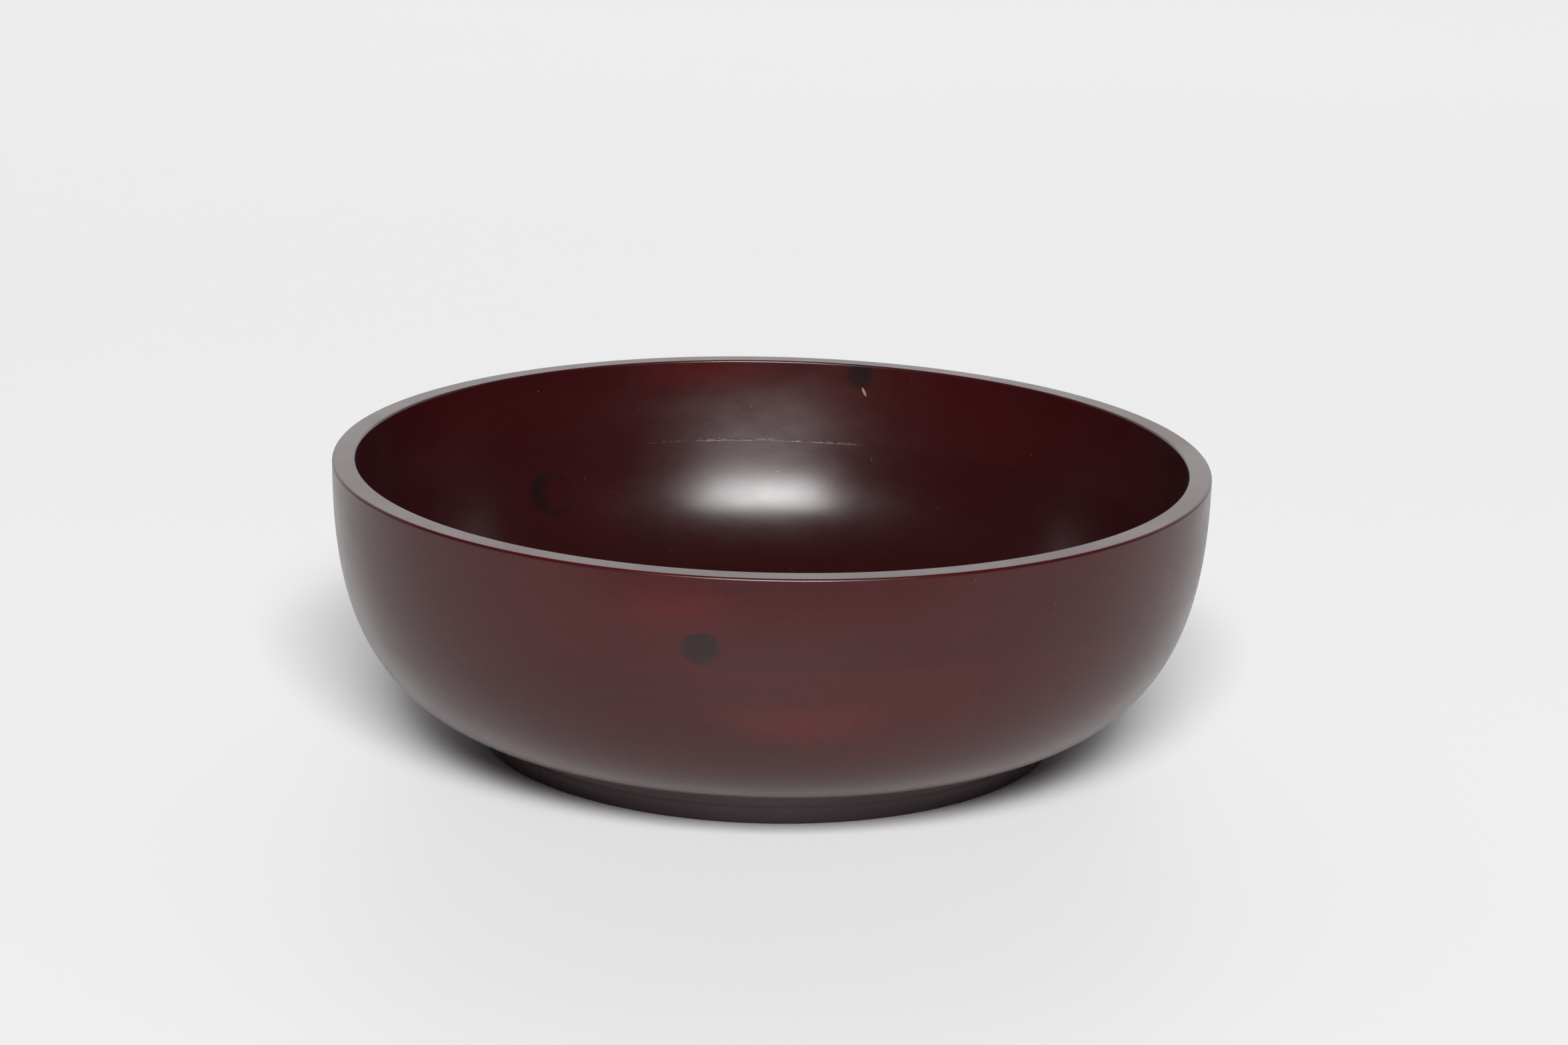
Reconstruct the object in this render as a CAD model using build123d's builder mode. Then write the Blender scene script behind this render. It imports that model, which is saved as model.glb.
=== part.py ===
"""Lacquered wooden bowl, turned in one piece from a glued-up blank of boards.

Millimetres, +Z up. The origin is the middle of the circle the foot stands on.
The blank has three courses. The base course is one board with the foot turned on it,
and the middle and top courses are rings of four mitred boards, each ring turned an
eighth of a circle against the next so that no two joints meet. Four bodies of branch wood
and bark lie in the boards and were cut flush with them on the lathe.
"""

import os
from math import cos, radians, sin

from build123d import *

# Overall size
RIM_RADIUS = 125.0
HEIGHT = 80.8
RIM_LAND = 6.4  # width of the flat on top of the rim
RIM_EASE = 0.75  # both edges of that flat

# Blank: three courses of equal boards, faced on the lathe at the bottom and at the rim
BASE_FACING = 0.6
RIM_FACING = 3.8
BOARD = (HEIGHT + BASE_FACING + RIM_FACING) / 3
BASE_TOP = BOARD - BASE_FACING
MIDDLE_TOP = BASE_TOP + BOARD
BOARDS_PER_RING = 4
FIRST_TOP_JOINT = -108.4  # degrees from +X, seen from above
RING_STEP = 360.0 / BOARDS_PER_RING
FIRST_MIDDLE_JOINT = FIRST_TOP_JOINT + RING_STEP / 2

# Foot and floor
FOOT_RADIUS = 84.3
FOOT_DRAFT = 0.7  # the foot is this much wider where it meets the wall
FOOT_RING = 9.0
FOOT_COVE = 1.2
FOOT_EASE = 0.5
RECESS = 4.2
RECESS_COVE = 2.5
FOOT_HEIGHT = 10.0
FLOOR = 9.0  # thickness in the middle
FLOOR_TOP = RECESS + FLOOR

# Knots: outlines are width x height on the wall, depths are into the wall
KNOT_GAP = 0.08  # shrinkage gap round a knot; its inner end sits on the pocket's floor
FRONT_KNOT_AZIMUTH, FRONT_KNOT_HEIGHT = -97.9, MIDDLE_TOP + 5.4
FRONT_KNOT_SIZE, FRONT_KNOT_DEPTH = (9.8, 8.2), 5.5
FRONT_KNOT_ROUND = 1.2
BACK_KNOT_AZIMUTH, BACK_KNOT_HEIGHT = 76.3, HEIGHT - 5.0
BACK_KNOT_SIZE, BACK_KNOT_DEPTH = (9.4, 5.4), 3.2
BACK_KNOT_TILT = 50.0  # a spike knot, rising away from +X
SIDE_KNOT_AZIMUTH, SIDE_KNOT_HEIGHT = 128.9, MIDDLE_TOP - 12.1
SIDE_KNOT_SIZE, SIDE_KNOT_DEPTH = (12.0, 11.6), 6.0
BARK_WIDTH = 3.2  # at its thickest, on the side away from +X
BARK_DEPTH = SIDE_KNOT_DEPTH - 1.5

# Wall outlines from the rim down: the outside as shares of the way from the top of the foot
# to the rim, the inside as shares of the way from the middle of the floor to the rim
OUTER_WALL = [
    (1.0, 1.0),
    (0.995, 0.829),
    (0.969, 0.653),
    (0.857, 0.386),
    (0.623, 0.162),
    (0.328, 0.036),
]
INNER_WALL = [(1.0, 1.0), (0.944, 0.636), (0.866, 0.325), (0.727, 0.111), (0.422, 0.015)]

os.makedirs("parts", exist_ok=True)


def finish(part, name):
    """Names a node and writes its file."""
    part.label = name
    export_step(part, f"parts/{name}.step")


def circle_at(builder, radius, height):
    """The round edge nearest to a radius and a height."""
    edges = builder.edges().filter_by(GeomType.CIRCLE)
    return edges.sort_by(lambda e: abs(e.radius - radius) + abs(e.arc_center.Z - height))[0]


def along(low, high, shares):
    """Points at these shares of the way between two corners, in radius and in height."""
    return [(low[0] + r * (high[0] - low[0]), low[1] + z * (high[1] - low[1])) for r, z in shares]


# The whole turned shape. It is no node: every board and knot below is a piece of it.
foot_top, outer_rim = (FOOT_RADIUS + FOOT_DRAFT, FOOT_HEIGHT), (RIM_RADIUS, HEIGHT)
floor_middle, inner_rim = (0, FLOOR_TOP), (RIM_RADIUS - RIM_LAND, HEIGHT)
outside = along(foot_top, outer_rim, OUTER_WALL)
inside = along(floor_middle, inner_rim, INNER_WALL)
with BuildPart() as turned:
    with BuildSketch(Plane.XZ):
        with BuildLine():
            Spline(*outside, foot_top, tangents=[(0, -1), (-1, 0)])
            Polyline(
                foot_top,
                (FOOT_RADIUS, 0),
                (FOOT_RADIUS - FOOT_RING, 0),
                (FOOT_RADIUS - FOOT_RING, RECESS),
                (0, RECESS),
                floor_middle,
            )
            Spline(floor_middle, *reversed(inside), tangents=[(1, 0), (0.16, 1)])
            Line(inner_rim, outer_rim)
        make_face()
    revolve(axis=Axis.Z)
    fillet(circle_at(turned, *outer_rim), RIM_EASE)
    fillet(circle_at(turned, *inner_rim), RIM_EASE)
    fillet(circle_at(turned, *foot_top), FOOT_COVE)
    fillet(circle_at(turned, FOOT_RADIUS, 0), FOOT_EASE)
    fillet(circle_at(turned, FOOT_RADIUS - FOOT_RING, 0), FOOT_EASE)
    fillet(circle_at(turned, FOOT_RADIUS - FOOT_RING, RECESS), RECESS_COVE)


def wall_plane(azimuth, height):
    """A plane on the bowl's axis that faces the wall at this azimuth and height."""
    a = radians(azimuth)
    return Plane((0, 0, height), x_dir=(-sin(a), cos(a), 0), z_dir=(cos(a), sin(a), 0))


def wall_radius(points, height):
    """The wall's radius at a height, straight between the outline's points."""
    for (r_high, z_high), (r_low, z_low) in zip(points, points[1:]):
        if height >= z_low:
            return r_low + (r_high - r_low) * (height - z_low) / (z_high - z_low)
    return points[-1][0]


front_floor = wall_radius(outside, FRONT_KNOT_HEIGHT) - FRONT_KNOT_DEPTH
back_floor = wall_radius(inside, BACK_KNOT_HEIGHT) + BACK_KNOT_DEPTH
side_floor = wall_radius(inside, SIDE_KNOT_HEIGHT) + SIDE_KNOT_DEPTH
bark_floor = wall_radius(inside, SIDE_KNOT_HEIGHT) + BARK_DEPTH


def blunt_knot(gap):
    """The front knot's outline: a blunt stub of branch, wider than tall, corners as shares of that."""
    w, h = FRONT_KNOT_SIZE
    corners = [
        (-0.50, 0.08),
        (-0.44, -0.30),
        (-0.14, -0.50),
        (0.38, -0.50),
        (0.50, -0.24),
        (0.27, 0.50),
        (0.00, 0.50),
        (-0.38, 0.30),
    ]
    with BuildSketch() as outline:
        with BuildLine():
            Polyline(*[(x * w, y * h) for x, y in corners], close=True)
        make_face()
        fillet(outline.vertices(), FRONT_KNOT_ROUND)
        if gap:
            offset(amount=gap)
    return outline.sketch


def oval_knot(size, gap, shift=(0, 0), turn=0.0):
    """An oval outline, grown by the gap."""
    with BuildSketch() as outline:
        with Locations(shift):
            Ellipse(size[0] / 2 + gap, size[1] / 2 + gap, rotation=turn)
    return outline.sketch


def front_outline(gap):
    return blunt_knot(gap)


def back_outline(gap):
    return oval_knot(BACK_KNOT_SIZE, gap, turn=BACK_KNOT_TILT)


def side_outline(gap):
    return oval_knot(SIDE_KNOT_SIZE, gap)


def bark_outline(gap):
    """Half an oval round the side knot. Its two horns end blunt, level with the knot's middle."""
    w, h = SIDE_KNOT_SIZE
    with BuildSketch() as outline:
        add(oval_knot((w + BARK_WIDTH, h + BARK_WIDTH), gap, shift=(BARK_WIDTH / 2, 0)))
        with Locations((-gap, 0)):
            Rectangle(w + BARK_WIDTH, 2 * h, align=(Align.MIN, Align.CENTER), mode=Mode.INTERSECT)
    return outline.sketch


def peg(azimuth, height, outline, start, end):
    """A straight peg with this outline, from one radius to another."""
    with BuildPart() as body:
        with BuildSketch(wall_plane(azimuth, height).offset(start)):
            add(outline)
        extrude(amount=end - start)
    return body.part


FRONT = (FRONT_KNOT_AZIMUTH, FRONT_KNOT_HEIGHT)
BACK = (BACK_KNOT_AZIMUTH, BACK_KNOT_HEIGHT)
SIDE = (SIDE_KNOT_AZIMUTH, SIDE_KNOT_HEIGHT)
CLEAR_OUT = RIM_RADIUS * 1.1  # beyond the outer wall
CLEAR_IN = RIM_RADIUS * 0.5  # inside the hollow

with BuildPart() as front_knot:
    add(peg(*FRONT, front_outline(0), front_floor, CLEAR_OUT))
    add(turned.part, mode=Mode.INTERSECT)
finish(front_knot.part, "front_knot")

with BuildPart() as back_knot:
    add(peg(*BACK, back_outline(0), CLEAR_IN, back_floor))
    add(turned.part, mode=Mode.INTERSECT)
finish(back_knot.part, "back_knot")

with BuildPart() as side_knot:
    add(peg(*SIDE, side_outline(0), CLEAR_IN, side_floor))
    add(turned.part, mode=Mode.INTERSECT)
finish(side_knot.part, "side_knot")

with BuildPart() as side_knot_bark:
    add(peg(*SIDE, bark_outline(0), CLEAR_IN, bark_floor))
    add(turned.part, mode=Mode.INTERSECT)
    add(peg(*SIDE, side_outline(KNOT_GAP), CLEAR_IN, CLEAR_OUT), mode=Mode.SUBTRACT)
finish(side_knot_bark.part, "side_knot_bark")

# Pockets, keyed by the board that holds them
pockets = {
    "top_board_1": [peg(*FRONT, front_outline(KNOT_GAP), front_floor, CLEAR_OUT)],
    "top_board_3": [peg(*BACK, back_outline(KNOT_GAP), CLEAR_IN, back_floor)],
    "middle_board_3": [
        peg(*SIDE, side_outline(KNOT_GAP), CLEAR_IN, side_floor),
        peg(*SIDE, bark_outline(KNOT_GAP), CLEAR_IN, bark_floor),
    ],
}

with BuildPart() as base_board:
    add(turned.part)
    split(bisect_by=Plane.XY.offset(BASE_TOP), keep=Keep.BOTTOM)
finish(base_board.part, "base_board")


def ring_board(name, bottom, top, first_joint):
    """One mitred board of a ring, between two planes through the axis."""
    reach = 2 * RIM_RADIUS
    joints = [first_joint, first_joint + RING_STEP / 2, first_joint + RING_STEP]
    corners = [(reach * cos(radians(a)), reach * sin(radians(a))) for a in joints]
    with BuildPart() as board:
        add(turned.part)
        with BuildSketch(Plane.XY.offset(bottom)):
            with BuildLine():
                Polyline((0, 0), *corners, close=True)
            make_face()
        extrude(amount=top - bottom, mode=Mode.INTERSECT)
        for pocket in pockets.get(name, []):
            add(pocket, mode=Mode.SUBTRACT)
    finish(board.part, name)


for i in range(BOARDS_PER_RING):
    ring_board(f"middle_board_{i + 1}", BASE_TOP, MIDDLE_TOP, FIRST_MIDDLE_JOINT + i * RING_STEP)
    ring_board(f"top_board_{i + 1}", MIDDLE_TOP, HEIGHT, FIRST_TOP_JOINT + i * RING_STEP)
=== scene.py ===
"""The looks of the lacquered bowl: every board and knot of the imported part, remade as a fine
mesh with its own wood, under one large soft lamp. Metres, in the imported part's frame."""

import math

import bmesh
import bpy
import numpy as np
from mathutils import Matrix, Vector


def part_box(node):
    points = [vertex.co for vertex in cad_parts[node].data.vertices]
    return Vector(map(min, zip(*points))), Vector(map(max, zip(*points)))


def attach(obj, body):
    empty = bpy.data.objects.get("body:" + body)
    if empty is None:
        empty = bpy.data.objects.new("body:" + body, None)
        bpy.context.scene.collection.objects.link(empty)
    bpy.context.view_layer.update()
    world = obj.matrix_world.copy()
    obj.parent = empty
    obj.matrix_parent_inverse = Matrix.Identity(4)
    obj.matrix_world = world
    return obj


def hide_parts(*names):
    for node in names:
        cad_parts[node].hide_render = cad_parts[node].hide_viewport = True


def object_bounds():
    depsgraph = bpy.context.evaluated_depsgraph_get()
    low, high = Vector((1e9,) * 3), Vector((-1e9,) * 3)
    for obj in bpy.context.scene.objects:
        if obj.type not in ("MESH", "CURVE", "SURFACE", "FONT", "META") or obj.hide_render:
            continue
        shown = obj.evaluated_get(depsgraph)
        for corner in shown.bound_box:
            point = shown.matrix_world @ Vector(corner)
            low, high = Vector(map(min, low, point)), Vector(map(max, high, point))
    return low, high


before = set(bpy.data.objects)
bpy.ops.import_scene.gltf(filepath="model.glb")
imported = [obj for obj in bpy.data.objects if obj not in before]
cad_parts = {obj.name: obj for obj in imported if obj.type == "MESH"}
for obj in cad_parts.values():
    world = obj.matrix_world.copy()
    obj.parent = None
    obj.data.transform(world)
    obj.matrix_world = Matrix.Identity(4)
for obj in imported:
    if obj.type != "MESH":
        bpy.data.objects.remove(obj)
cad_lo, cad_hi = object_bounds()

# ---------------------------------------------------------------- sizes
MM = 0.001
RIM = min(cad_hi.x, cad_hi.y, -cad_lo.x, -cad_lo.y)
HEIGHT = cad_hi.z
BASE_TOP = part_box("base_board")[1].z
MIDDLE_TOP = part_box("middle_board_1")[1].z
RIM_LAND, RIM_EASE = 6.4 * MM, 0.75 * MM
FOOT_RADIUS, FOOT_DRAFT, FOOT_RING = 84.3 * MM, 0.7 * MM, 9.0 * MM
FOOT_COVE, FOOT_EASE = 1.2 * MM, 0.5 * MM
RECESS, RECESS_COVE = 4.2 * MM, 2.5 * MM
FOOT_HEIGHT, FLOOR_TOP = 10.0 * MM, 13.2 * MM
KNOT_GAP = 0.02 * MM  # the lacquer has run in, so less shows than the part's clearance
TINY = 0.001 * MM
FIRST_TOP_JOINT = -108.4
FIRST_MIDDLE_JOINT = FIRST_TOP_JOINT + 45

# the walls from the rim down: the outside as shares of the way from the top of the foot to
# the rim, the inside as shares of the way from the middle of the floor to the rim
OUTER_WALL = [
    (1.0, 1.0), (0.995, 0.829), (0.969, 0.653),
    (0.857, 0.386), (0.623, 0.162), (0.328, 0.036),
]
INNER_WALL = [(1.0, 1.0), (0.944, 0.636), (0.866, 0.325), (0.727, 0.111), (0.422, 0.015)]


# ---------------------------------------------------------------- the turned profile
def spline(points, start, end, steps):
    """A cubic through the points, even in curvature, with these directions at its ends."""
    p = np.array(points, float)
    t = np.concatenate([[0], np.cumsum(np.linalg.norm(np.diff(p, axis=0), axis=1))])
    n, h = len(p), np.diff(t)
    a, b = np.zeros((n, n)), np.zeros((n, 2))
    a[0, 0] = a[-1, -1] = 1
    b[0], b[-1] = Vector(start).normalized(), Vector(end).normalized()
    for i in range(1, n - 1):
        a[i, i - 1 : i + 2] = h[i], 2 * (h[i - 1] + h[i]), h[i - 1]
        b[i] = 3 * (h[i] / h[i - 1] * (p[i] - p[i - 1]) + h[i - 1] / h[i] * (p[i + 1] - p[i]))
    m = np.linalg.solve(a, b)
    out = []
    for s in np.linspace(0, t[-1], steps):
        i = min(np.searchsorted(t, s, side="right") - 1, n - 2)
        u = (s - t[i]) / h[i]
        out.append(
            (2 * u**3 - 3 * u**2 + 1) * p[i] + (u**3 - 2 * u**2 + u) * h[i] * m[i]
            + (3 * u**2 - 2 * u**3) * p[i + 1] + (u**3 - u**2) * h[i] * m[i + 1]
        )
    return np.array(out)


def rounded(legs, radii, steps=7):
    """Joins legs end to end, with a round of the given radius at each corner between them."""
    legs = [np.array(leg, float) for leg in legs]
    out = [legs[0]]
    for leg, radius in zip(legs[1:], radii):
        last, corner = out[-1], leg[0]
        into = corner - last[-2]
        into = into / np.linalg.norm(into)
        away = leg[1] - corner
        away = away / np.linalg.norm(away)
        turn = math.acos(np.clip(into @ away, -1, 1))
        trim = radius * math.tan(turn / 2)
        keep = np.linalg.norm(last - corner, axis=1) > trim * 1.001
        last = np.vstack([last[: np.flatnonzero(keep)[-1] + 1], corner - into * trim])
        keep = np.linalg.norm(leg - corner, axis=1) > trim * 1.001
        leg = np.vstack([corner + away * trim, leg[np.flatnonzero(keep)[0] :]])
        side = np.sign(into[0] * away[1] - into[1] * away[0])
        centre = last[-1] + radius * side * np.array([-into[1], into[0]])
        arm = last[-1] - centre
        arc = []
        for k in range(1, steps):
            c, s = math.cos(side * turn * k / steps), math.sin(side * turn * k / steps)
            arc.append(centre + [arm[0] * c - arm[1] * s, arm[0] * s + arm[1] * c])
        out[-1] = last
        out += [np.array(arc), leg]
    return np.vstack(out)


def along(low, high, shares):
    """Points at these shares of the way between two corners, in radius and in height."""
    return [(low[0] + r * (high[0] - low[0]), low[1] + z * (high[1] - low[1])) for r, z in shares]


foot_top, outer_rim = (FOOT_RADIUS + FOOT_DRAFT, FOOT_HEIGHT), (RIM, HEIGHT)
floor_middle, inner_rim = (0, FLOOR_TOP), (RIM - RIM_LAND, HEIGHT)
foot_inside = FOOT_RADIUS - FOOT_RING
WALL_STEPS = 90
OUTSIDE = spline(along(foot_top, outer_rim, OUTER_WALL) + [foot_top], (0, -1), (-1, 0), WALL_STEPS)
rising = along(floor_middle, inner_rim, INNER_WALL)[::-1]
INSIDE = spline([floor_middle] + rising, (1, 0), (0.16, 1), WALL_STEPS)
# from the middle of the floor up the inside, over the rim, down the outside, and under the foot
PROFILE = rounded(
    [
        INSIDE,
        np.linspace(inner_rim, outer_rim, 4),
        OUTSIDE,
        np.linspace(foot_top, (FOOT_RADIUS, 0), 8),
        np.linspace((FOOT_RADIUS, 0), (foot_inside, 0), 3),
        np.linspace((foot_inside, 0), (foot_inside, RECESS), 3),
        np.linspace((foot_inside, RECESS), (0, RECESS), 8),
    ],
    [RIM_EASE, RIM_EASE, FOOT_COVE, FOOT_EASE, FOOT_EASE, RECESS_COVE],
)
step = np.gradient(PROFILE, axis=0)
step /= np.linalg.norm(step, axis=1)[:, None]
PROFILE_NORMAL = np.stack([-step[:, 1], step[:, 0]], 1)
TOP_OF_RIM = int(np.argmax(PROFILE[:, 1]))


INNER_SIDE, OUTER_SIDE = PROFILE[: TOP_OF_RIM + 1], PROFILE[TOP_OF_RIM + 1 :][::-1]


def cut(wall, low, high):
    """The stretch of a rising wall between two heights."""
    z = wall[:, 1]
    between = wall[(z > low + TINY) & (z < high - TINY)]
    ends = [[np.interp(h, z, wall[:, 0]), h] for h in (low, high)]
    return np.vstack([ends[:1], between, ends[1:]])


def wall_radius(height, outer):
    wall = OUTER_SIDE if outer else INNER_SIDE
    wall = wall[np.concatenate([[True], np.diff(np.maximum.accumulate(wall[:, 1])) > 0])]
    return float(np.interp(height, wall[:, 1], wall[:, 0]))


# ---------------------------------------------------------------- meshes
ON_THE_TURNED_SURFACE = 0.97  # least cosine between a face and the profile's normal


def smooth_as_turned(mesh):
    """Faces on the turned surface take its exact normals, so boards shade as one across a joint."""
    n = len(mesh.vertices)
    co = np.zeros(n * 3, np.float32)
    mesh.vertices.foreach_get("co", co)
    co = co.reshape(-1, 3)
    r, z = np.hypot(co[:, 0], co[:, 1]), co[:, 2]
    a, b = PROFILE[:-1], PROFILE[1:]
    ab = b - a
    ab_squared = (ab**2).sum(1)
    normal = np.zeros((n, 3))
    for i in range(n):
        t = np.clip(((r[i] - a[:, 0]) * ab[:, 0] + (z[i] - a[:, 1]) * ab[:, 1]) / ab_squared, 0, 1)
        off = a + t[:, None] * ab - (r[i], z[i])
        k = int(np.argmin((off**2).sum(1)))
        w = PROFILE_NORMAL[k] * (1 - t[k]) + PROFILE_NORMAL[k + 1] * t[k]
        w = w / np.linalg.norm(w)
        flat = co[i, :2] / max(r[i], 1e-9)
        normal[i] = w[0] * flat[0], w[0] * flat[1], w[1]
    mesh.polygons.foreach_set("use_smooth", [True] * len(mesh.polygons))
    loops = np.zeros((len(mesh.loops), 3))
    for face in mesh.polygons:
        own = np.array(face.normal)
        for k in face.loop_indices:
            turned = normal[mesh.loops[k].vertex_index]
            loops[k] = turned if turned @ own > ON_THE_TURNED_SURFACE else own
    mesh.normals_split_custom_set(loops.tolist())


def make_object(name, verts, faces):
    mesh = bpy.data.meshes.new(name)
    mesh.from_pydata([tuple(v) for v in verts], [], faces)
    build = bmesh.new()
    build.from_mesh(mesh)
    bmesh.ops.recalc_face_normals(build, faces=build.faces)
    build.to_mesh(mesh)
    build.free()
    obj = bpy.data.objects.new(name, mesh)
    bpy.context.scene.collection.objects.link(obj)
    return obj


def ring_board(name, section, start, end, steps=128):
    """A closed section in radius and height, swept between two azimuths, with flat mitred ends."""
    n, verts, faces = len(section), [], []
    for a in np.radians(np.linspace(start, end, steps + 1)):
        verts += [(r * math.cos(a), r * math.sin(a), z) for r, z in section]
    for i in range(steps):
        for j in range(n):
            k = (j + 1) % n
            faces.append((i * n + j, i * n + k, (i + 1) * n + k, (i + 1) * n + j))
    faces += [tuple(range(n)), tuple(range(steps * n, steps * n + n))]
    return make_object(name, verts, faces)


def disc_board(name, section, steps=480):
    """A section that starts and ends on the axis, turned all the way round."""
    inner, verts, faces = section[1:-1], [], []
    n = len(inner)
    for a in np.linspace(0, 2 * math.pi, steps, endpoint=False):
        verts += [(r * math.cos(a), r * math.sin(a), z) for r, z in inner]
    first, last = len(verts), len(verts) + 1
    verts += [(0, 0, section[0][1]), (0, 0, section[-1][1])]
    for i in range(steps):
        m = (i + 1) % steps
        for j in range(n - 1):
            faces.append((i * n + j, i * n + j + 1, m * n + j + 1, m * n + j))
        faces += [(i * n, m * n, first), (i * n + n - 1, m * n + n - 1, last)]
    return make_object(name, verts, faces)


def place(azimuth, height):
    """Axes of a knot: along the wall, up, and outwards."""
    a = math.radians(azimuth)
    return Vector((-math.sin(a), math.cos(a), 0)), height, Vector((math.cos(a), math.sin(a), 0))


def peg(name, where, outline, start, end):
    """A straight peg with this outline, from one distance off the axis to another."""
    sideways, height, out = place(*where)
    n, verts = len(outline), []
    for reach in (start, end):
        verts += [sideways * u + out * reach + Vector((0, 0, height + v)) for u, v in outline]
    faces = [tuple(range(n)), tuple(range(n, 2 * n))]
    faces += [(i, (i + 1) % n, n + (i + 1) % n, n + i) for i in range(n)]
    return make_object(name, verts, faces)


def knot(name, where, outline, floor, outer, rings=6, hub=(0, 0)):
    """A peg cut flush with the wall, its face in rings so that it follows the curve."""
    sideways, height, out = place(*where)
    n, verts, faces = len(outline), [], []
    for k in range(rings, 0, -1):
        for u, v in outline:
            u, v = hub[0] + (u - hub[0]) * k / rings, hub[1] + (v - hub[1]) * k / rings
            reach = math.sqrt(wall_radius(height + v, outer) ** 2 - u * u)
            verts.append(sideways * u + out * reach + Vector((0, 0, height + v)))
    reach = math.sqrt(wall_radius(height + hub[1], outer) ** 2 - hub[0] ** 2)
    verts.append(sideways * hub[0] + out * reach + Vector((0, 0, height + hub[1])))
    base = len(verts)
    verts += [sideways * u + out * floor + Vector((0, 0, height + v)) for u, v in outline]
    for i in range(n):
        m = (i + 1) % n
        for k in range(rings - 1):
            faces.append((k * n + i, k * n + m, (k + 1) * n + m, (k + 1) * n + i))
        faces.append(((rings - 1) * n + i, (rings - 1) * n + m, rings * n))
        faces.append((i, m, base + m, base + i))
    faces.append(tuple(range(base, base + n)))
    return make_object(name, verts, faces)


def carve(obj, cutters):
    """Cuts the pegs out of a board."""
    for cutter in cutters:
        change = obj.modifiers.new("pocket", "BOOLEAN")
        change.operation, change.solver, change.object = "DIFFERENCE", "EXACT", cutter
    bpy.context.view_layer.update()
    done = obj.evaluated_get(bpy.context.evaluated_depsgraph_get())
    mesh = bpy.data.meshes.new_from_object(done)
    obj.modifiers.clear()
    obj.data = mesh
    for cutter in cutters:
        bpy.data.objects.remove(cutter)


def oval(size, gap, shift=0.0, turn=0.0, count=48, start=0.0, end=360.0):
    """An oval's outline, or a part of it, with a gap all round."""
    w, h, t = size[0] / 2 + gap, size[1] / 2 + gap, math.radians(turn)
    out = []
    for a in np.radians(np.linspace(start, end, count, endpoint=end - start < 360)):
        u, v = w * math.cos(a), h * math.sin(a)
        out.append((shift + u * math.cos(t) - v * math.sin(t), u * math.sin(t) + v * math.cos(t)))
    return out[:-1] if end - start >= 360 else out


def blunt(size, gap, radius):
    """The front knot's eight corners, each rounded."""
    corners = [
        (-0.50, 0.08), (-0.44, -0.30), (-0.14, -0.50), (0.38, -0.50),
        (0.50, -0.24), (0.27, 0.50), (0.00, 0.50), (-0.38, 0.30),
    ]
    p = [Vector((x * size[0], y * size[1])) for x, y in corners]
    out, steps = [], 6
    for i, corner in enumerate(p):
        into, away = (corner - p[i - 1]).normalized(), (p[(i + 1) % len(p)] - corner).normalized()
        turn = into.angle(away)
        centre = corner - into * radius * math.tan(turn / 2) + Vector((-into.y, into.x)) * radius
        for k in range(steps + 1):
            a = math.atan2(-into.x, into.y) + turn * k / steps
            out.append(tuple(centre + Vector((math.cos(a), math.sin(a))) * (radius + gap)))
    return out


# each knot's azimuth and height, width and height, and depth in the board
FRONT, FRONT_SIZE, FRONT_DEPTH = (-97.9, 61.6 * MM), (9.8 * MM, 8.2 * MM), 5.5 * MM
BACK, BACK_SIZE, BACK_DEPTH = (76.3, 75.8 * MM), (9.4 * MM, 5.4 * MM), 3.2 * MM
SIDE, SIDE_SIZE, SIDE_DEPTH = (128.9, 44.1 * MM), (12.0 * MM, 11.6 * MM), 6.0 * MM
FRONT_ROUND, BACK_TILT = 1.2 * MM, 50.0
BARK, BARK_DEPTH = 3.2 * MM, 4.5 * MM
front_floor = wall_radius(FRONT[1], True) - FRONT_DEPTH
back_floor = wall_radius(BACK[1], False) + BACK_DEPTH
side_floor = wall_radius(SIDE[1], False) + SIDE_DEPTH
bark_floor = wall_radius(SIDE[1], False) + BARK_DEPTH
OUT, IN = RIM * 1.1, RIM * 0.5  # clear of the wall on either side


def crescent(gap):
    """The bark's outline: half an oval, less the knot inside it."""
    w, h = SIDE_SIZE[0] + BARK, SIDE_SIZE[1] + BARK
    reach = 90 + math.degrees(math.acos(min(1, BARK / w)))
    outline = oval((w, h), gap, shift=BARK / 2, start=-reach, end=reach, count=60)
    return [(max(u, -gap), v) for u, v in outline]


board = {}
shoulder = HEIGHT - RIM_EASE
base = cut(INNER_SIDE, FLOOR_TOP + 1e-7, BASE_TOP)
base[0] = (0, FLOOR_TOP)
under = OUTER_SIDE[::-1]
under = under[under[:, 1] < BASE_TOP - TINY]
edge = cut(OUTER_SIDE, BASE_TOP, shoulder)[:1]
board["base_board"] = disc_board("base_board", [tuple(p) for p in np.vstack([base, edge, under])])
inner, outer = (cut(side, BASE_TOP, MIDDLE_TOP) for side in (INNER_SIDE, OUTER_SIDE))
middle = np.vstack([inner, outer[::-1]])
above = PROFILE[PROFILE[:, 1] > MIDDLE_TOP + TINY]
feet = [cut(INNER_SIDE, MIDDLE_TOP, HEIGHT)[:1], cut(OUTER_SIDE, MIDDLE_TOP, shoulder)[:1]]
top = np.vstack([feet[0], above, feet[1]])
COURSES = [("middle", middle, FIRST_MIDDLE_JOINT), ("top", top, FIRST_TOP_JOINT)]
for i in range(4):
    for course, section, first in COURSES:
        name, start = f"{course}_board_{i + 1}", first + 90 * i
        board[name] = ring_board(name, section, start, start + 90)

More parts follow.
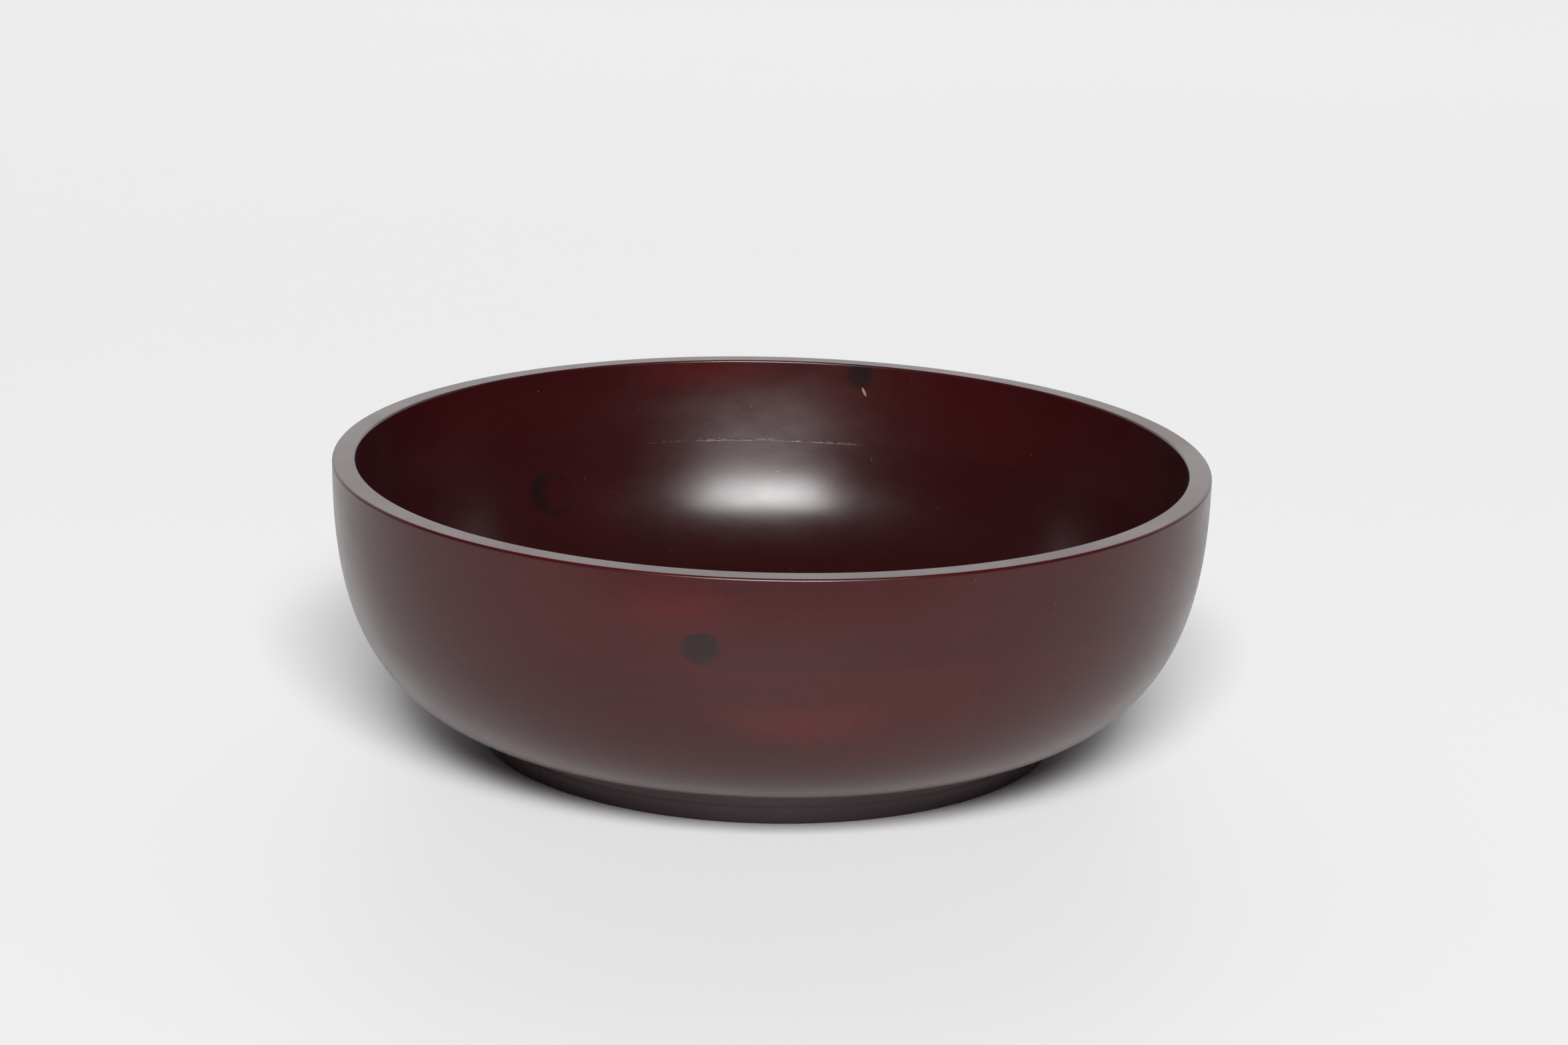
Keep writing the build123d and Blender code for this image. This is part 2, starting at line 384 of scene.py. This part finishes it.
front_pocket = blunt(FRONT_SIZE, KNOT_GAP, FRONT_ROUND)
back_pocket = oval(BACK_SIZE, KNOT_GAP, turn=BACK_TILT)
carve(board["top_board_1"], [peg("cut_1", FRONT, front_pocket, front_floor, OUT)])
carve(board["top_board_3"], [peg("cut_2", BACK, back_pocket, IN, back_floor)])
carve(board["middle_board_3"], [
    peg("cut_3", SIDE, oval(SIDE_SIZE, KNOT_GAP), IN, side_floor),
    peg("cut_4", SIDE, crescent(KNOT_GAP), IN, bark_floor),
])
board["front_knot"] = knot("front_knot", FRONT, blunt(FRONT_SIZE, 0, FRONT_ROUND), front_floor, True)
board["back_knot"] = knot("back_knot", BACK, oval(BACK_SIZE, 0, turn=BACK_TILT), back_floor, False)
board["side_knot"] = knot("side_knot", SIDE, oval(SIDE_SIZE, 0), side_floor, False)
bark = knot("side_knot_bark", SIDE, crescent(0), bark_floor, False, rings=8, hub=(3 * MM, 0))
carve(bark, [peg("cut_5", SIDE, oval(SIDE_SIZE, KNOT_GAP), IN, OUT)])
board["side_knot_bark"] = bark
for name, obj in board.items():
    smooth_as_turned(obj.data)
    obj.name = "wood_" + name
    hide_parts(name)
    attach(obj, "root")


# ---------------------------------------------------------------- materials
LACQUER_IOR = 1.47
LACQUER_ROUGHNESS = (0.25, 0.31)
LACQUER_BUMP, LACQUER_DEPTH = 0.18, 0.12 * MM
RINGS_PER_METRE = 300.0
# how often each part of the grain repeats in a metre: outwards, along the board and up
FIBRE, PORES = (1500, 45, 1500), (2600, 110, 2600)
CLOUD, BROAD, WANDER, SMEAR = (16, 9, 26), (7, 5, 9), (9, 2.2, 9), (30, 30, 55)
GRIT = 1900.0
COURSE_LINE, END_LINE = 0.32 * MM, 0.22 * MM  # half widths of the glue lines
CHIPPED_FROM, CHIPPED_TO = -44 * MM, 30 * MM  # sideways, where the top glue line has flaked


class Nodes:
    """Short calls that build the node tree of a material or a world."""

    def __init__(self, owner):
        self.owner = owner
        owner.use_nodes = True
        self.tree = owner.node_tree
        self.tree.nodes.clear()

    def add(self, kind, **values):
        node = self.tree.nodes.new(kind)
        for key, value in values.items():
            setattr(node, key, value)
        return node

    def put(self, value, socket):
        if hasattr(value, "links"):
            self.tree.links.new(value, socket)
        elif value is not None:
            socket.default_value = value

    def math(self, operation, a, b=None):
        node = self.add("ShaderNodeMath", operation=operation)
        for value, socket in zip((a, b), node.inputs):
            self.put(value, socket)
        return node.outputs[0]

    def times(self, a, b):
        return self.math("MULTIPLY", a, b)

    def plus(self, a, b):
        return self.math("ADD", a, b)

    def minus(self, a, b):
        return self.math("SUBTRACT", a, b)

    def size(self, value):
        return self.math("ABSOLUTE", value)

    def smooth(self, value, low, high, start=0.0, end=1.0):
        """A soft step from start to end, as the value goes from low to high."""
        node = self.add("ShaderNodeMapRange", interpolation_type="SMOOTHSTEP")
        for v, socket in zip((value, low, high, start, end), node.inputs):
            self.put(v, socket)
        return node.outputs[0]

    def noise(self, where, scale, detail=3.0, rough=0.5):
        node = self.add("ShaderNodeTexNoise")
        for v, k in ((where, "Vector"), (scale, "Scale"), (detail, "Detail"), (rough, "Roughness")):
            self.put(v, node.inputs[k])
        return node.outputs[0]

    def stretch(self, where, scale, turn=0.0, move=(0, 0, 0), tilt=0.0):
        node = self.add("ShaderNodeMapping")
        self.put(where, node.inputs["Vector"])
        node.inputs["Location"].default_value = move
        node.inputs["Rotation"].default_value = (tilt, 0, turn)
        node.inputs["Scale"].default_value = scale
        return node.outputs[0]

    def mix(self, share, a, b):
        node = self.add("ShaderNodeMix", data_type="RGBA")
        self.put(share, node.inputs[0])
        self.put(a, node.inputs[6])
        self.put(b, node.inputs[7])
        return node.outputs[2]

    def split(self, where):
        node = self.add("ShaderNodeSeparateXYZ")
        self.put(where, node.inputs[0])
        return node.outputs

    def length(self, vector):
        node = self.add("ShaderNodeVectorMath", operation="LENGTH")
        self.put(vector, node.inputs[0])
        return node.outputs["Value"]

    def oval(self, where, place, outer, size, tilt=0.0, reach=4 * MM):
        """How far a point is from the middle of an oval on the wall: 1 at the oval's edge."""
        azimuth, height = place
        middle = (-wall_radius(height, outer), 0, -height)
        near = self.stretch(where, (1, 1, 1), turn=-math.radians(azimuth), move=middle)
        near = self.stretch(near, (1, 1, 1), tilt=-math.radians(tilt))
        return self.length(self.stretch(near, (1 / reach, 2 / size[0], 2 / size[1])))

    def here(self):
        return self.add("ShaderNodeTexCoord").outputs["Object"]

    def finish(self, colour, roughness, height, bump, depth):
        shader = self.add("ShaderNodeBsdfPrincipled")
        self.put(colour, shader.inputs["Base Color"])
        self.put(roughness, shader.inputs["Roughness"])
        shader.inputs["IOR"].default_value = LACQUER_IOR
        rise = self.add("ShaderNodeBump")
        rise.inputs["Strength"].default_value = bump
        rise.inputs["Distance"].default_value = depth
        self.put(height, rise.inputs["Height"])
        self.put(rise.outputs[0], shader.inputs["Normal"])
        out = self.add("ShaderNodeOutputMaterial")
        self.put(shader.outputs[0], out.inputs["Surface"])
        return self.owner


def rgb(r, g, b):
    return (r, g, b, 1.0)


# lacquer over dark, middling and paler wood; painted shade in the hollow, and a painted reflection of
# the floor on the foot
DARK, RED, WARM = rgb(0.022, 0.0020, 0.0028), rgb(0.054, 0.0030, 0.0042), rgb(0.095, 0.0085, 0.0050)
HOLLOW_SHADE, FLOOR_REFLECTION_PAINT = rgb(0.009, 0.0020, 0.0026), rgb(0.038, 0.0235, 0.0285)
# knots and bark, bare splintered wood, pores, glue, flaked lacquer and dust
SOOT, TAN = rgb(0.010, 0.0035, 0.0030), rgb(0.52, 0.30, 0.19)
PORE, GLUE = rgb(0.008, 0.002, 0.002), rgb(0.01, 0.004, 0.004)
FLAKE, DUST = rgb(0.34, 0.22, 0.21), rgb(0.25, 0.2, 0.18)
BEAD_HEIGHT, BEAD_WIDTH = 5.6 * MM, 2.4 * MM


def gap_line(n, distance, width, seed_where, weight=1.0):
    """1 on a joint, 0 away from it, broken up along its length."""
    on = n.smooth(n.size(distance), width * 0.25, width, 1.0, 0.0)
    worn = n.smooth(n.noise(seed_where, 260.0, 2.0), 0.35, 0.62)
    return n.times(n.times(on, worn), weight)


def wood(
    name, azimuth, seed, marks=(), pith=(0.0, 0.05), ends=True, joints=(), chips=False, bead=False
):
    """Lacquered wood of one board or knot. Its grain runs square to the azimuth it faces, with growth
    rings about a pith that lies off the board. A mark is a blotch on the wall: its place, whether
    it is outside, its size, tilt and colour, where it starts and stops to fade, and its share.
    Ends are a ring board's mitred ends, and joints the heights and weights of its glue lines."""
    n = Nodes(bpy.data.materials.new(name))
    where = n.here()
    # x runs outwards, y along the board
    local = n.stretch(where, (1, 1, 1), turn=-math.radians(azimuth))
    moved = n.stretch(local, (1, 1, 1), move=(seed * 0.37, seed * 0.61, seed * 0.23))
    x, y, z = n.split(local)
    wander = n.noise(n.stretch(moved, WANDER), 1.0, 2.0)
    across = n.plus(n.minus(x, pith[0]), n.times(y, 0.10))
    upward = n.minus(z, pith[1])
    from_pith = n.math("SQRT", n.plus(n.times(across, across), n.times(upward, upward)))
    from_pith = n.plus(from_pith, n.times(wander, 0.03))
    band = n.math("FRACT", n.times(from_pith, RINGS_PER_METRE))
    late = n.times(n.smooth(band, 0.45, 0.93), n.smooth(band, 0.94, 1.0, 1.0, 0.0))
    fibre = n.noise(n.stretch(moved, FIBRE), 1.0, 3.0, 0.6)
    pores = n.smooth(n.noise(n.stretch(moved, PORES), 1.0, 1.0), 0.62, 0.74)
    cloud = n.noise(n.stretch(moved, CLOUD), 1.0, 3.0, 0.55)
    broad = n.noise(n.stretch(moved, BROAD, move=(seed, 2.1, 0.4)), 1.0, 1.0)
    grit = n.noise(where, GRIT, 2.0)
    share = n.plus(n.times(cloud, 0.42), n.times(fibre, 0.30))
    share = n.plus(share, n.times(grit, 0.28))
    share = n.minus(share, n.times(late, 0.04))
    colour = n.mix(n.smooth(share, 0.1, 0.9), DARK, RED)
    colour = n.mix(n.times(n.smooth(broad, 0.5, 0.8), 0.15), colour, WARM)
    ragged = n.times(n.minus(n.noise(where, 330.0, 4.0, 0.65), 0.5), 0.9)
    for place, outer, size, tilt, tone, inside, outside, amount in marks:
        off = n.plus(n.oval(where, place, outer, size, tilt), ragged)
        colour = n.mix(n.smooth(off, inside, outside, amount, 0.0), colour, tone)
    # painted shade: the inside is painted darker towards the bottom of the hollow. Hollow is 1 inside
    # a shape as round as the bowl, whose skin runs through the middle of the wall
    far = n.math("SQRT", n.plus(n.times(x, x), n.times(y, y)))
    hollow = n.math("POWER", n.math("DIVIDE", far, RIM - RIM_LAND / 2), 4.0)
    depth = n.math("DIVIDE", n.minus(HEIGHT, z), HEIGHT - 0.66 * FLOOR_TOP)
    drop = n.math("POWER", depth, 4.0)
    hollow = n.smooth(n.plus(hollow, drop), 0.98, 1.03, 1.0, 0.0)
    shade_depth = n.smooth(z, 15 * MM, 85 * MM, 0.75, 0.3)
    colour = n.mix(n.times(hollow, shade_depth), colour, HOLLOW_SHADE)
    if bead:
        # painted reflection: the outside of the foot is painted greyer towards the floor, standing in
        # for the pale floor that it mirrors
        painted_reflection = n.times(n.smooth(z, 7 * MM, 12 * MM, 0.7, 0.0), n.minus(1.0, hollow))
        colour = n.mix(painted_reflection, colour, FLOOR_REFLECTION_PAINT)
    colour = n.mix(n.times(pores, 0.3), colour, PORE)
    # glue lines at the courses and at the board's mitred ends
    lines = [gap_line(n, n.minus(z, height), COURSE_LINE, where, weight) for height, weight in joints]
    if ends:
        off = n.times(n.minus(x, n.size(y)), math.sqrt(0.5))
        lines.append(gap_line(n, off, END_LINE, where, 0.3))
    for one in lines[1:]:
        lines[0] = n.math("MAXIMUM", lines[0], one)
    if lines:
        colour = n.mix(n.times(lines[0], 0.75), colour, GLUE)
    if chips:
        # the lacquer has flaked along the top glue line, inside and at the back only
        uneven = n.times(n.minus(n.noise(where, 260.0, 2.0), 0.5), 0.8 * MM)
        off = n.plus(n.minus(z, MIDDLE_TOP), uneven)
        on = n.smooth(n.size(off), 0.1 * MM, 0.5 * MM, 1.0, 0.0)
        on = n.times(on, n.smooth(far, 0.90 * RIM, 0.93 * RIM, 1.0, 0.0))
        on = n.times(on, n.smooth(n.noise(where, 420.0, 3.0, 0.65), 0.42, 0.68))
        sideways = n.split(where)[0]
        on = n.times(on, n.smooth(sideways, CHIPPED_FROM, CHIPPED_FROM + 26 * MM))
        on = n.times(on, n.smooth(sideways, CHIPPED_TO - 5 * MM, CHIPPED_TO, 1.0, 0.0))
        colour = n.mix(n.times(on, 0.34), colour, FLAKE)
    speck = n.smooth(n.noise(where, 900.0, 1.0), 0.80, 0.84)
    colour = n.mix(n.times(speck, 0.35), colour, DUST)
    smear = n.noise(n.stretch(where, SMEAR), 1.0, 3.0, 0.6)
    roughness = n.smooth(smear, 0.3, 0.7, *LACQUER_ROUGHNESS)
    height = n.plus(n.times(n.noise(where, 420.0, 2.0), 0.25), n.times(grit, 0.12))
    height = n.minus(height, n.times(pores, 0.1))
    height = n.plus(height, n.times(speck, 0.5))
    if lines:
        height = n.minus(height, n.times(lines[0], 0.8))
    if bead:
        # a low bead left by the turning tool, round the foot
        rise = n.smooth(n.size(n.minus(z, BEAD_HEIGHT)), 0.0, BEAD_WIDTH / 2, 1.0, 0.0)
        height = n.plus(height, n.times(rise, 9.0))
    return n.finish(colour, roughness, height, LACQUER_BUMP, LACQUER_DEPTH)


def dress(name, material):
    """Puts a material on a piece."""
    board[name].data.materials.clear()
    board[name].data.materials.append(material)


SEAM_TOP, SEAM_LOW = (MIDDLE_TOP, 0.7), (BASE_TOP, 0.5)
# blotches, shared by the boards and the knots that lie in them
front_blot = (FRONT, True, FRONT_SIZE, 0, SOOT, 0.75, 1.15, 0.85)
back_blots = [
    ((76.5, 77.6 * MM), False, (8.2 * MM, 7.6 * MM), 40, SOOT, 0.7, 1.3, 0.95),
    ((75.7, 72.4 * MM), False, (3.2 * MM, 0.9 * MM), 60, TAN, 0.4, 1.2, 0.9),
]
bark_middle = (SIDE[0] + 0.85, SIDE[1])
bark_size = (SIDE_SIZE[0] + BARK, SIDE_SIZE[1] + BARK)
bark_blot = (bark_middle, False, bark_size, 0, SOOT, 0.85, 1.2, 0.85)
knot_edge = ((SIDE[0] - 0.6, SIDE[1]), False, SIDE_SIZE, 0, SOOT, 1.12, 0.8, 0.7)
warm_top = ((-101.0, 72 * MM), True, (46 * MM, 20 * MM), 0, WARM, 0.0, 1.1, 0.35)
warm_middle = ((-86.0, 40 * MM), True, (70 * MM, 24 * MM), 0, WARM, 0.0, 1.1, 0.4)
warm_inside = ((101.0, 77 * MM), False, (100 * MM, 14 * MM), 0, WARM, 0.0, 1.1, 0.5)
MARKS = {
    "top_board_1": [warm_top, front_blot],
    "top_board_3": [warm_inside] + back_blots,
    "middle_board_3": [bark_blot],
    "middle_board_4": [warm_middle],
}
look = wood("base wood", 20, 3.0, pith=(0.02, -0.05), ends=False, joints=[SEAM_LOW], bead=True)
dress("base_board", look)
# each course: its first joint, first seed and step between seeds, pith, seams and chipped boards
RINGS = {
    "middle": (FIRST_MIDDLE_JOINT, 5.0, 1.7, (0.09, 0.07), [SEAM_TOP, SEAM_LOW], (1,)),
    "top": (FIRST_TOP_JOINT, 11.0, 2.3, (0.14, 0.02), [SEAM_TOP], (1, 2)),
}
for i in range(4):
    for course, (first, seed, step, pith, seams, chipped) in RINGS.items():
        name = f"{course}_board_{i + 1}"
        look = wood(
            f"{course} wood {i + 1}", first + 90 * i + 45, seed + step * i, MARKS.get(name, ()),
            pith, joints=seams, chips=i in chipped,
        )
        dress(name, look)
# the knots take the tone of the board they lie in, with their own grain
side_facing, back_facing = FIRST_MIDDLE_JOINT + 225, FIRST_TOP_JOINT + 225
knots = {
    "front_knot": ("dark_knot", FRONT[0] + 90, 21.0, [front_blot]),
    "back_knot": ("dark_knot", back_facing, 15.6, back_blots),
    "side_knot": ("red_knot", side_facing + 90, 8.4, [knot_edge]),
    "side_knot_bark": ("bark", side_facing, 8.4, [bark_blot, bark_blot]),
}
for name, (slot, facing, seed, marks) in knots.items():
    dress(name, wood(name.replace("_", " ") + " wood", facing, seed, marks, ends=False))


# ---------------------------------------------------------------- floor, light and camera
# a soft-edged dark card lies in front of the bowl: painted shade on the floor there, which only the
# lacquer mirrors, as a painted reflection
CARD_Y, CARD_SIZE = -0.45, (0.55, 0.21)


def floor_material(name, shade):
    n = Nodes(bpy.data.materials.new(name))
    tone = n.noise(n.here(), 3.0, 2.0)
    colour = n.mix(tone, rgb(0.750, 0.750, 0.750), rgb(0.760, 0.760, 0.760))
    if shade:
        # painted shade: a soft dark oval over the pale floor colour
        centred = n.stretch(n.here(), (1, 1, 1), move=(0.0, -CARD_Y, 0.0))
        far = n.length(n.stretch(centred, (1 / CARD_SIZE[0], 1 / CARD_SIZE[1], 0.0)))
        colour = n.mix(n.smooth(far, 0.5, 1.0, 1.0, 0.0), colour, rgb(0.14, 0.14, 0.14))
    return n.finish(colour, 0.55, n.noise(n.here(), 300.0, 1.0), bump=0.02, depth=0.1 * MM)


def sheet(name, low, high, height, material):
    corners = [(low[0], low[1]), (high[0], low[1]), (high[0], high[1]), (low[0], high[1])]
    obj = make_object(name, [(x, y, height) for x, y in corners], [(0, 1, 2, 3)])
    obj.data.materials.append(material)
    return obj


sheet("floor", (-9, -9), (9, 12), 0.0, floor_material("pale floor", False))
card_low = (-CARD_SIZE[0], CARD_Y - CARD_SIZE[1])
card_high = (CARD_SIZE[0], CARD_Y + CARD_SIZE[1])
card = sheet("painted_shade_card", card_low, card_high, 1 * MM, floor_material("painted shade card", True))
card.visible_camera = card.visible_shadow = card.visible_diffuse = False


def lamp(name, where, aim, width, height, watts):
    data = bpy.data.lights.new(name, "AREA")
    data.shape, data.size, data.size_y, data.energy = "RECTANGLE", width, height, watts
    obj = bpy.data.objects.new(name, data)
    bpy.context.scene.collection.objects.link(obj)
    obj.location = where
    obj.rotation_euler = (Vector(aim) - Vector(where)).to_track_quat("-Z", "Y").to_euler()


lamp("softbox", (0.30, -5.93, 5.30), (0, 0.05, 0.04), 4.3, 2.45, 990)
lamp("backdrop lamp", (0, 3.7, 1.25), (0, 3.71, 0), 8.6, 5.4, 88)

# a room that glows low down behind the bowl, and is dark elsewhere
ROOM, GLOW = 0.03, 0.80
world = bpy.data.worlds.new("studio")
bpy.context.scene.world = world
n = Nodes(world)
_, away, up = n.split(n.add("ShaderNodeTexCoord").outputs["Generated"])
behind = n.times(n.smooth(away, 0.6, 0.9), n.smooth(up, 0.3, 0.55, 1.0, 0.0))
glow = n.add("ShaderNodeBackground")
n.put(n.plus(n.times(behind, GLOW), ROOM), glow.inputs["Strength"])
n.put(rgb(1, 1, 1), glow.inputs["Color"])
n.put(glow.outputs[0], n.add("ShaderNodeOutputWorld").inputs[0])

# the camera stands where the outlines of the rim and the foot put it, in rim radii
eye, aim = Vector((0, -7.257 * RIM, 2.531 * RIM)), Vector((0.0300 * RIM, 0, 0.4830 * RIM))
roll = math.radians(1.43)
camera = bpy.data.objects.new("camera", bpy.data.cameras.new("camera"))
bpy.context.scene.collection.objects.link(camera)
camera.data.sensor_width, camera.data.lens = 36.0, 75.14
camera.data.clip_start, camera.data.clip_end = 0.05, 50
back = (eye - aim).normalized()
right = Vector((0, 0, 1)).cross(back).normalized()
up = back.cross(right)
right, up = right * math.cos(roll) + up * math.sin(roll), up * math.cos(roll) - right * math.sin(roll)
camera.matrix_world = Matrix.Translation(eye) @ Matrix((right, up, back)).transposed().to_4x4()
bpy.context.scene.camera = camera

bpy.context.scene.view_settings.view_transform = "Standard"
bpy.context.scene.view_settings.look = "None"
